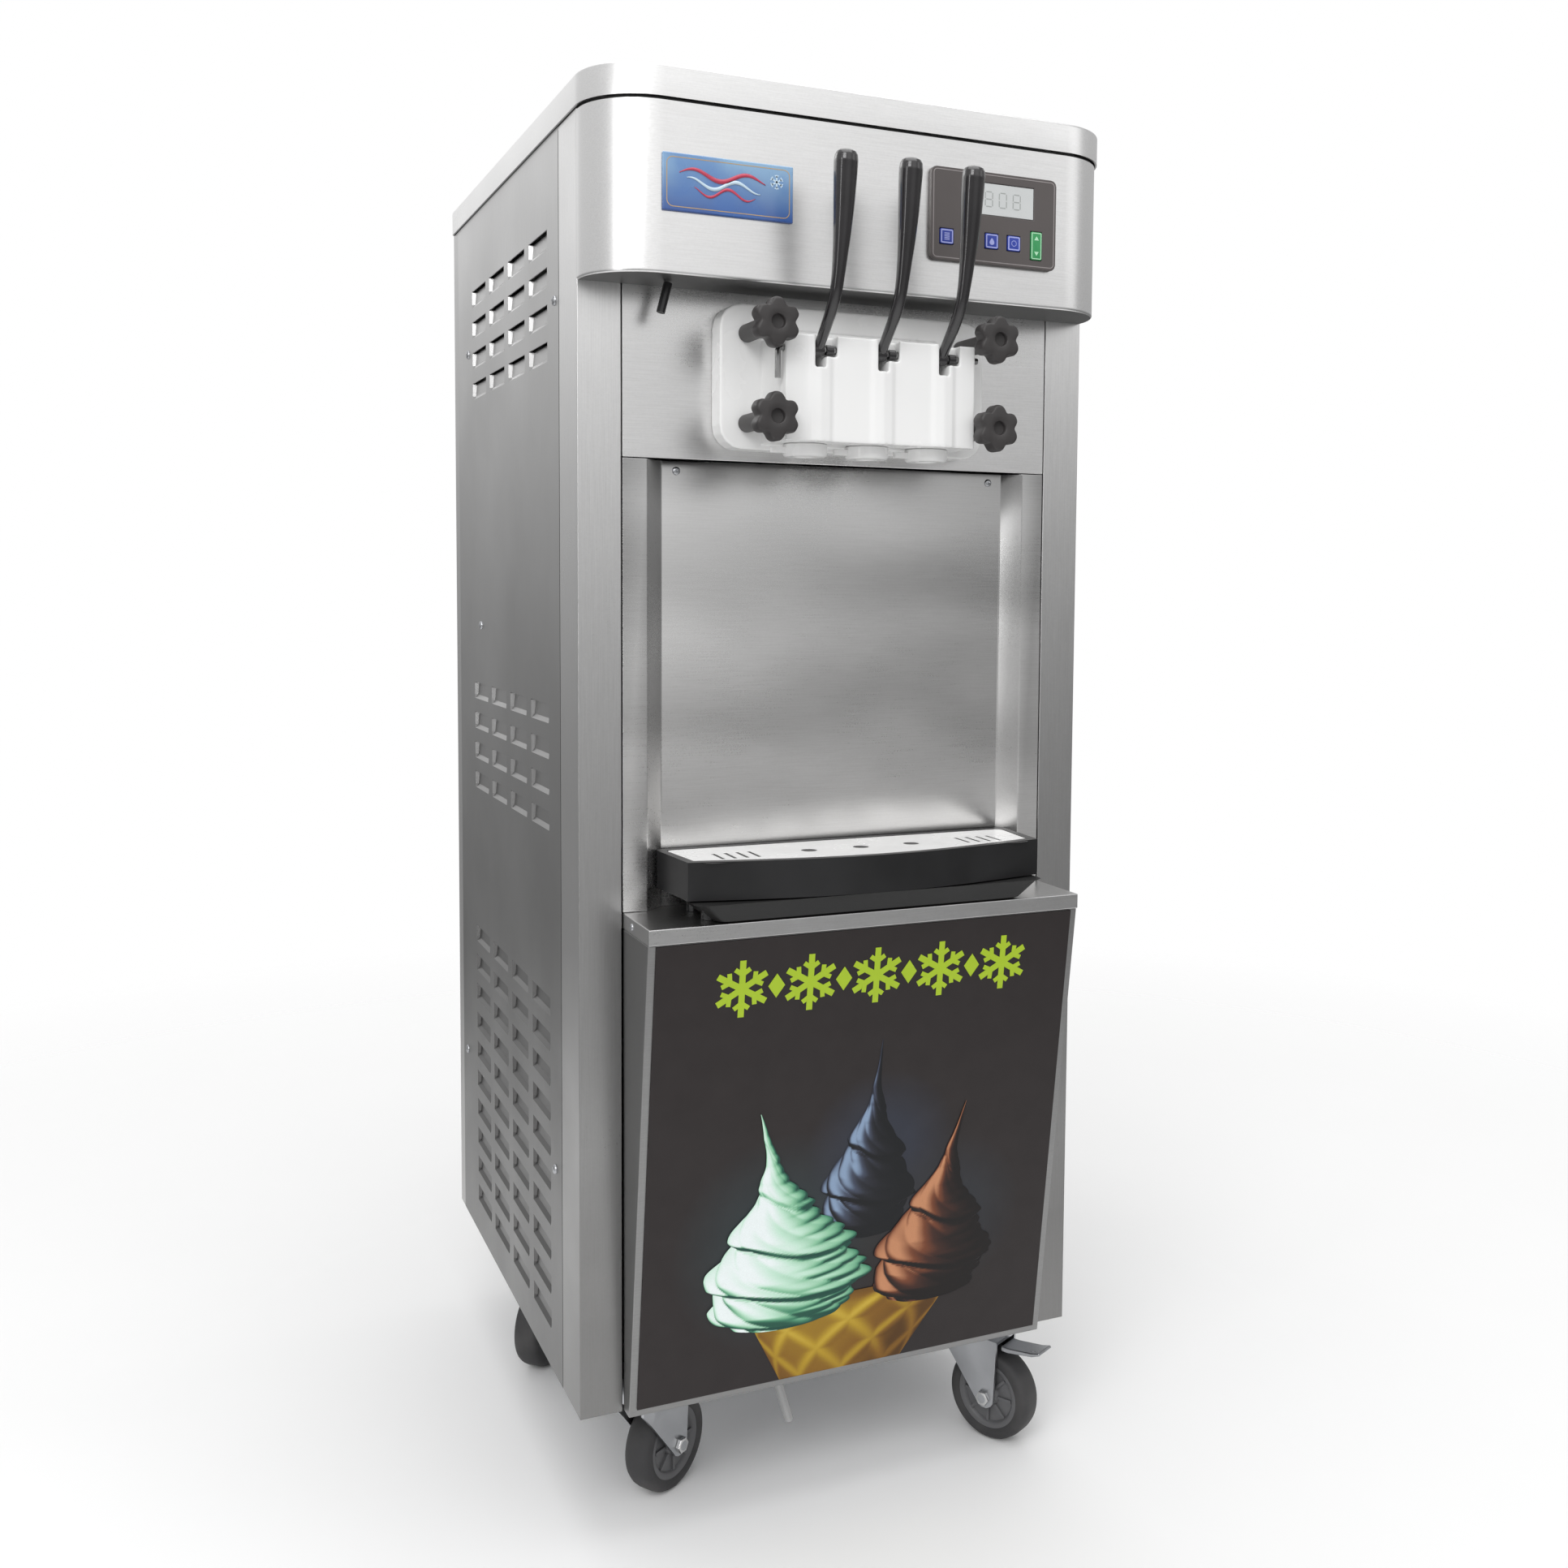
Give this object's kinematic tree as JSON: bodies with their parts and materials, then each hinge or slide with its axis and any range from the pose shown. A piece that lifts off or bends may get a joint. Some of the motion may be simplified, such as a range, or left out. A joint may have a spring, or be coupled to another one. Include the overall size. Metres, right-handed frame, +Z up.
{
  "type": "ice cream maker",
  "caption": "Floor-standing soft-serve freezer on casters: steel cabinet, dispensing head with draw levers, drip tray, control panel and lidded hoppers.",
  "frame": {"origin": "on the floor, at the middle of the whole object's footprint", "axes": "+Z up, the front with the levers faces -Y, +X to the right as seen from the front"},
  "size_m": [0.545, 0.7624, 1.4301],
  "materials": {
    "steel_bright": "brushed stainless, bright",
    "steel_satin": "brushed stainless, satin",
    "zinc": "bright zinc plate",
    "white_plastic": "gloss",
    "lever_black": "gloss",
    "tray_black": "satin",
    "knob_grey": "matt",
    "rubber": "matt",
    "graphic": "printed film",
    "panel_brown": "printed film",
    "key_blue": "printed key",
    "key_green": "printed key",
    "emblem_blue": "gloss badge",
    "display": "unlit display",
    "cast_grey": "cast",
    "compressor_black": "gloss black paint",
    "hose_grey": "matt"
  },
  "bodies": {
    "root": {"base_pan": "zinc", "breather_peg": "tray_black", "compressor": "compressor_black", "condenser": "cast_grey", "control_bezel": "panel_brown", "corner_post_left": "steel_satin", "corner_post_right": "steel_satin", "dispensing_head": "white_plastic", "display_window": "display", "drain_spout": "hose_grey", "freezer_block": "steel_satin", "gear_motor": "cast_grey", "graphic_panel": "graphic", "header_cover": "steel_bright", "hopper_pan": "steel_bright", "lower_front_panel": "steel_satin", "nameplate": "emblem_blue", "pivot_rod": "steel_bright", "rear_panel": "steel_satin", "shelf_cap": "steel_bright", "side_panel_left": "steel_satin", "side_panel_right": "steel_satin", "splash_panel": "steel_bright", "top_cover": "steel_bright", "upper_front_panel": "steel_bright"},
    "fork_front_left": {"caster_fork_front_left": "zinc"},
    "wheel_front_left": {"caster_wheel_front_left": "rubber"},
    "pedal_front_left": {"brake_pedal_front_left": "zinc"},
    "fork_front_right": {"caster_fork_front_right": "zinc"},
    "wheel_front_right": {"caster_wheel_front_right": "rubber"},
    "pedal_front_right": {"brake_pedal_front_right": "zinc"},
    "fork_rear_left": {"caster_fork_rear_left": "zinc"},
    "wheel_rear_left": {"caster_wheel_rear_left": "rubber"},
    "fork_rear_right": {"caster_fork_rear_right": "zinc"},
    "wheel_rear_right": {"caster_wheel_rear_right": "rubber"},
    "lever_left": {"lever_left": "lever_black"},
    "plunger_left": {"plunger_left": "white_plastic"},
    "nozzle_left": {"nozzle_left": "white_plastic"},
    "lever_middle": {"lever_middle": "lever_black"},
    "plunger_middle": {"plunger_middle": "white_plastic"},
    "nozzle_middle": {"nozzle_middle": "white_plastic"},
    "lever_right": {"lever_right": "lever_black"},
    "plunger_right": {"plunger_right": "white_plastic"},
    "nozzle_right": {"nozzle_right": "white_plastic"},
    "knob_lower_left": {"star_knob_lower_left": "knob_grey"},
    "knob_lower_right": {"star_knob_lower_right": "knob_grey"},
    "knob_upper_left": {"star_knob_upper_left": "knob_grey"},
    "knob_upper_right": {"star_knob_upper_right": "knob_grey"},
    "drip_tray": {"drip_tray": "tray_black"},
    "drip_grid": {"drip_grid": "white_plastic"},
    "hopper_lid_left": {"hopper_lid_left": "steel_bright"},
    "hopper_lid_right": {"hopper_lid_right": "steel_bright"},
    "button_mix": {"button_mix": "key_blue"},
    "button_chill": {"button_chill": "key_blue"},
    "button_wash": {"button_wash": "key_blue"},
    "button_power": {"button_power": "key_blue"},
    "rocker_key": {"rocker_key": "key_green"},
    "beater_left": {"beater_left": "white_plastic"},
    "beater_right": {"beater_right": "white_plastic"},
    "fan": {"fan_rotor": "tray_black"}
  },
  "joints": [
    {"name": "swivel_front_left", "type": "hinge", "parent": "root", "child": "fork_front_left", "pos_m": [-0.188, -0.1648, 0.1152], "axis": [0, 0, 1], "continuous": true},
    {"name": "roll_front_left", "type": "hinge", "parent": "fork_front_left", "child": "wheel_front_left", "pos_m": [-0.15898, -0.14523, 0.04957], "axis": [-0.5592, 0.829, 0], "continuous": true},
    {"name": "brake_front_left", "type": "hinge", "parent": "fork_front_left", "child": "pedal_front_left", "pos_m": [-0.14365, -0.13488, 0.1065], "axis": [-0.5592, 0.829, 0], "range_deg": [0, 10]},
    {"name": "swivel_front_right", "type": "hinge", "parent": "root", "child": "fork_front_right", "pos_m": [0.188, -0.1648, 0.1152], "axis": [0, 0, 1], "continuous": true},
    {"name": "roll_front_right", "type": "hinge", "parent": "fork_front_right", "child": "wheel_front_right", "pos_m": [0.20443, -0.1957, 0.04957], "axis": [0.8829, 0.4695, 0], "continuous": true},
    {"name": "brake_front_right", "type": "hinge", "parent": "fork_front_right", "child": "pedal_front_right", "pos_m": [0.21312, -0.21204, 0.1065], "axis": [0.8829, 0.4695, 0], "range_deg": [0, 10]},
    {"name": "swivel_rear_left", "type": "hinge", "parent": "root", "child": "fork_rear_left", "pos_m": [-0.188, 0.1902, 0.1152], "axis": [0, 0, 1], "continuous": true},
    {"name": "roll_rear_left", "type": "hinge", "parent": "fork_rear_left", "child": "wheel_rear_left", "pos_m": [-0.21142, 0.16419, 0.04957], "axis": [0.7431, -0.6691, 0], "continuous": true},
    {"name": "swivel_rear_right", "type": "hinge", "parent": "root", "child": "fork_rear_right", "pos_m": [0.188, 0.1902, 0.1152], "axis": [0, 0, 1], "continuous": true},
    {"name": "roll_rear_right", "type": "hinge", "parent": "fork_rear_right", "child": "wheel_rear_right", "pos_m": [0.2055, 0.15989, 0.04957], "axis": [0.866, 0.5, 0], "continuous": true},
    {"name": "draw_left", "type": "hinge", "parent": "root", "child": "lever_left", "pos_m": [-0.064, -0.3088, 1.1535], "axis": [1, 0, 0], "range_deg": [0, 50]},
    {"name": "valve_left", "type": "slide", "parent": "root", "child": "plunger_left", "axis": [0, 0, 1], "range_m": [0, 0.0256]},
    {"name": "nozzle_twist_left", "type": "hinge", "parent": "root", "child": "nozzle_left", "pos_m": [-0.064, -0.2798, 1.0628], "axis": [0, 0, 1], "range_deg": [0, 60]},
    {"name": "draw_middle", "type": "hinge", "parent": "root", "child": "lever_middle", "pos_m": [0, -0.3088, 1.1535], "axis": [1, 0, 0], "range_deg": [0, 50]},
    {"name": "valve_middle", "type": "slide", "parent": "root", "child": "plunger_middle", "axis": [0, 0, 1], "range_m": [0, 0.0256]},
    {"name": "nozzle_twist_middle", "type": "hinge", "parent": "root", "child": "nozzle_middle", "pos_m": [0, -0.2798, 1.0628], "axis": [0, 0, 1], "range_deg": [0, 60]},
    {"name": "draw_right", "type": "hinge", "parent": "root", "child": "lever_right", "pos_m": [0.064, -0.3088, 1.1535], "axis": [1, 0, 0], "range_deg": [0, 50]},
    {"name": "valve_right", "type": "slide", "parent": "root", "child": "plunger_right", "axis": [0, 0, 1], "range_m": [0, 0.0256]},
    {"name": "nozzle_twist_right", "type": "hinge", "parent": "root", "child": "nozzle_right", "pos_m": [0.064, -0.2798, 1.0628], "axis": [0, 0, 1], "range_deg": [0, 60]},
    {"name": "knob_turn_lower_left", "type": "hinge", "parent": "root", "child": "knob_lower_left", "pos_m": [-0.114, -0.3383, 1.088], "axis": [0, 1, 0], "continuous": true},
    {"name": "knob_turn_lower_right", "type": "hinge", "parent": "root", "child": "knob_lower_right", "pos_m": [0.114, -0.3383, 1.088], "axis": [0, 1, 0], "continuous": true},
    {"name": "knob_turn_upper_left", "type": "hinge", "parent": "root", "child": "knob_upper_left", "pos_m": [-0.114, -0.3383, 1.172], "axis": [0, 1, 0], "continuous": true},
    {"name": "knob_turn_upper_right", "type": "hinge", "parent": "root", "child": "knob_upper_right", "pos_m": [0.114, -0.3383, 1.172], "axis": [0, 1, 0], "continuous": true},
    {"name": "tray_out", "type": "slide", "parent": "root", "child": "drip_tray", "axis": [0, -1, 0], "range_m": [0, 0.12]},
    {"name": "grid_lift", "type": "slide", "parent": "drip_tray", "child": "drip_grid", "axis": [0, 0, 1], "range_m": [0, 0.05]},
    {"name": "lid_lift_left", "type": "slide", "parent": "root", "child": "hopper_lid_left", "axis": [0, 0, 1], "range_m": [0, 0.12]},
    {"name": "lid_lift_right", "type": "slide", "parent": "root", "child": "hopper_lid_right", "axis": [0, 0, 1], "range_m": [0, 0.12]},
    {"name": "press_mix", "type": "slide", "parent": "root", "child": "button_mix", "axis": [0, 1, 0], "range_m": [0, 0.0012], "stiffness_N_per_m": 400},
    {"name": "press_chill", "type": "slide", "parent": "root", "child": "button_chill", "axis": [0, 1, 0], "range_m": [0, 0.0012], "stiffness_N_per_m": 400},
    {"name": "press_wash", "type": "slide", "parent": "root", "child": "button_wash", "axis": [0, 1, 0], "range_m": [0, 0.0012], "stiffness_N_per_m": 400},
    {"name": "press_power", "type": "slide", "parent": "root", "child": "button_power", "axis": [0, 1, 0], "range_m": [0, 0.0012], "stiffness_N_per_m": 400},
    {"name": "rocker_tip", "type": "hinge", "parent": "root", "child": "rocker_key", "pos_m": [0.1725, -0.2996, 1.2715], "axis": [1, 0, 0], "range_deg": [-4, 4], "stiffness_Nm_per_rad": 0.05},
    {"name": "beat_left", "type": "hinge", "parent": "root", "child": "beater_left", "pos_m": [-0.066, -0.2178, 1.128], "axis": [0, 1, 0], "continuous": true},
    {"name": "beat_right", "type": "hinge", "parent": "root", "child": "beater_right", "pos_m": [0.066, -0.2178, 1.128], "axis": [0, 1, 0], "continuous": true},
    {"name": "fan_spin", "type": "hinge", "parent": "root", "child": "fan", "pos_m": [-0.02, 0.2547, 0.335], "axis": [0, 1, 0], "continuous": true}
  ],
  "couplings": [
    {"joint": "valve_left", "follows": "draw_left", "m_per_rad": 0.029},
    {"joint": "valve_middle", "follows": "draw_middle", "m_per_rad": 0.029},
    {"joint": "valve_right", "follows": "draw_right", "m_per_rad": 0.029},
    {"joint": "beat_right", "follows": "beat_left", "ratio": 1}
  ]
}
